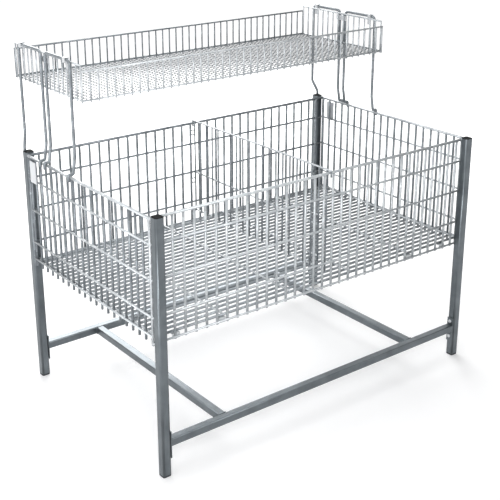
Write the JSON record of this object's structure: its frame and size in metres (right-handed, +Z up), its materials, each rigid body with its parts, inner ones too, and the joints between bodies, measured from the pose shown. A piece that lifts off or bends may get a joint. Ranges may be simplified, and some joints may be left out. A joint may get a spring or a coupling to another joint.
{
  "type": "retail dump bin",
  "caption": "Free-standing wire dump bin on square-tube legs, with a lift-out divider, a loose wire floor and a lift-off wire tray above its rear half.",
  "frame": {"origin": "on the floor, under the middle of the whole outline with the tray, which is 32 mm behind the middle of the four posts", "axes": "+X along the length, +Y towards the back under the tray, +Z up"},
  "size_m": [1.2692, 0.848, 1.1493],
  "materials": {
    "zinc_tube": "zinc-plated square tube with a soft blue-grey sheen",
    "zinc_wire": "bright zinc-plated drawn wire",
    "zinc_sheet": "bright zinc-plated sheet",
    "black_plastic": "moulded black plastic"
  },
  "bodies": {
    "stand": {"post_front_left": "zinc_tube", "post_front_right": "zinc_tube", "post_back_left": "zinc_tube", "post_back_right": "zinc_tube", "rail_front": "zinc_tube", "rail_back": "zinc_tube", "rail_plate_front_left": "zinc_tube", "rail_plate_front_right": "zinc_tube", "rail_plate_back_left": "zinc_tube", "rail_plate_back_right": "zinc_tube", "cross_rail_left": "zinc_tube", "cross_rail_right": "zinc_tube", "cap_front_left": "black_plastic", "cap_front_right": "black_plastic", "cap_back_left": "black_plastic", "cap_back_right": "black_plastic", "foot_front_left": "black_plastic", "foot_front_right": "black_plastic", "foot_back_left": "black_plastic", "foot_back_right": "black_plastic", "panel_front": "zinc_wire", "panel_back": "zinc_wire", "panel_left": "zinc_wire", "panel_right": "zinc_wire", "floor_clip_front_left_inner": "zinc_sheet", "floor_clip_front_left_outer": "zinc_sheet", "floor_clip_front_right_inner": "zinc_sheet", "floor_clip_front_right_outer": "zinc_sheet", "floor_clip_back_left_inner": "zinc_sheet", "floor_clip_back_left_outer": "zinc_sheet", "floor_clip_back_right_inner": "zinc_sheet", "floor_clip_back_right_outer": "zinc_sheet", "hoop_rear_left": "zinc_wire", "hoop_front_left": "zinc_wire", "hoop_rear_right": "zinc_wire", "hoop_front_right": "zinc_wire", "label_plate_left": "zinc_sheet", "label_plate_right": "zinc_sheet", "hoop_tie_left": "zinc_sheet", "hoop_tie_right": "zinc_sheet"},
    "tray": {"tray_wall_front": "zinc_wire", "tray_wall_back": "zinc_wire", "tray_end_left": "zinc_wire", "tray_end_right": "zinc_wire", "tray_floor": "zinc_wire", "tray_strap_rear_left": "zinc_sheet", "tray_strap_front_left": "zinc_sheet", "tray_strap_rear_right": "zinc_sheet", "tray_strap_front_right": "zinc_sheet"},
    "divider": {"divider": "zinc_wire"},
    "floor": {"floor_grid": "zinc_wire"}
  },
  "joints": [
    {"name": "tray_lift", "type": "slide", "parent": "stand", "child": "tray", "axis": [0, 0, 1], "range_m": [0, 0.15]},
    {"name": "divider_lift", "type": "slide", "parent": "stand", "child": "divider", "axis": [0, 0, 1], "range_m": [0, 0.2]},
    {"name": "floor_lift", "type": "slide", "parent": "stand", "child": "floor", "axis": [0, 0, 1], "range_m": [0, 0.025]}
  ]
}
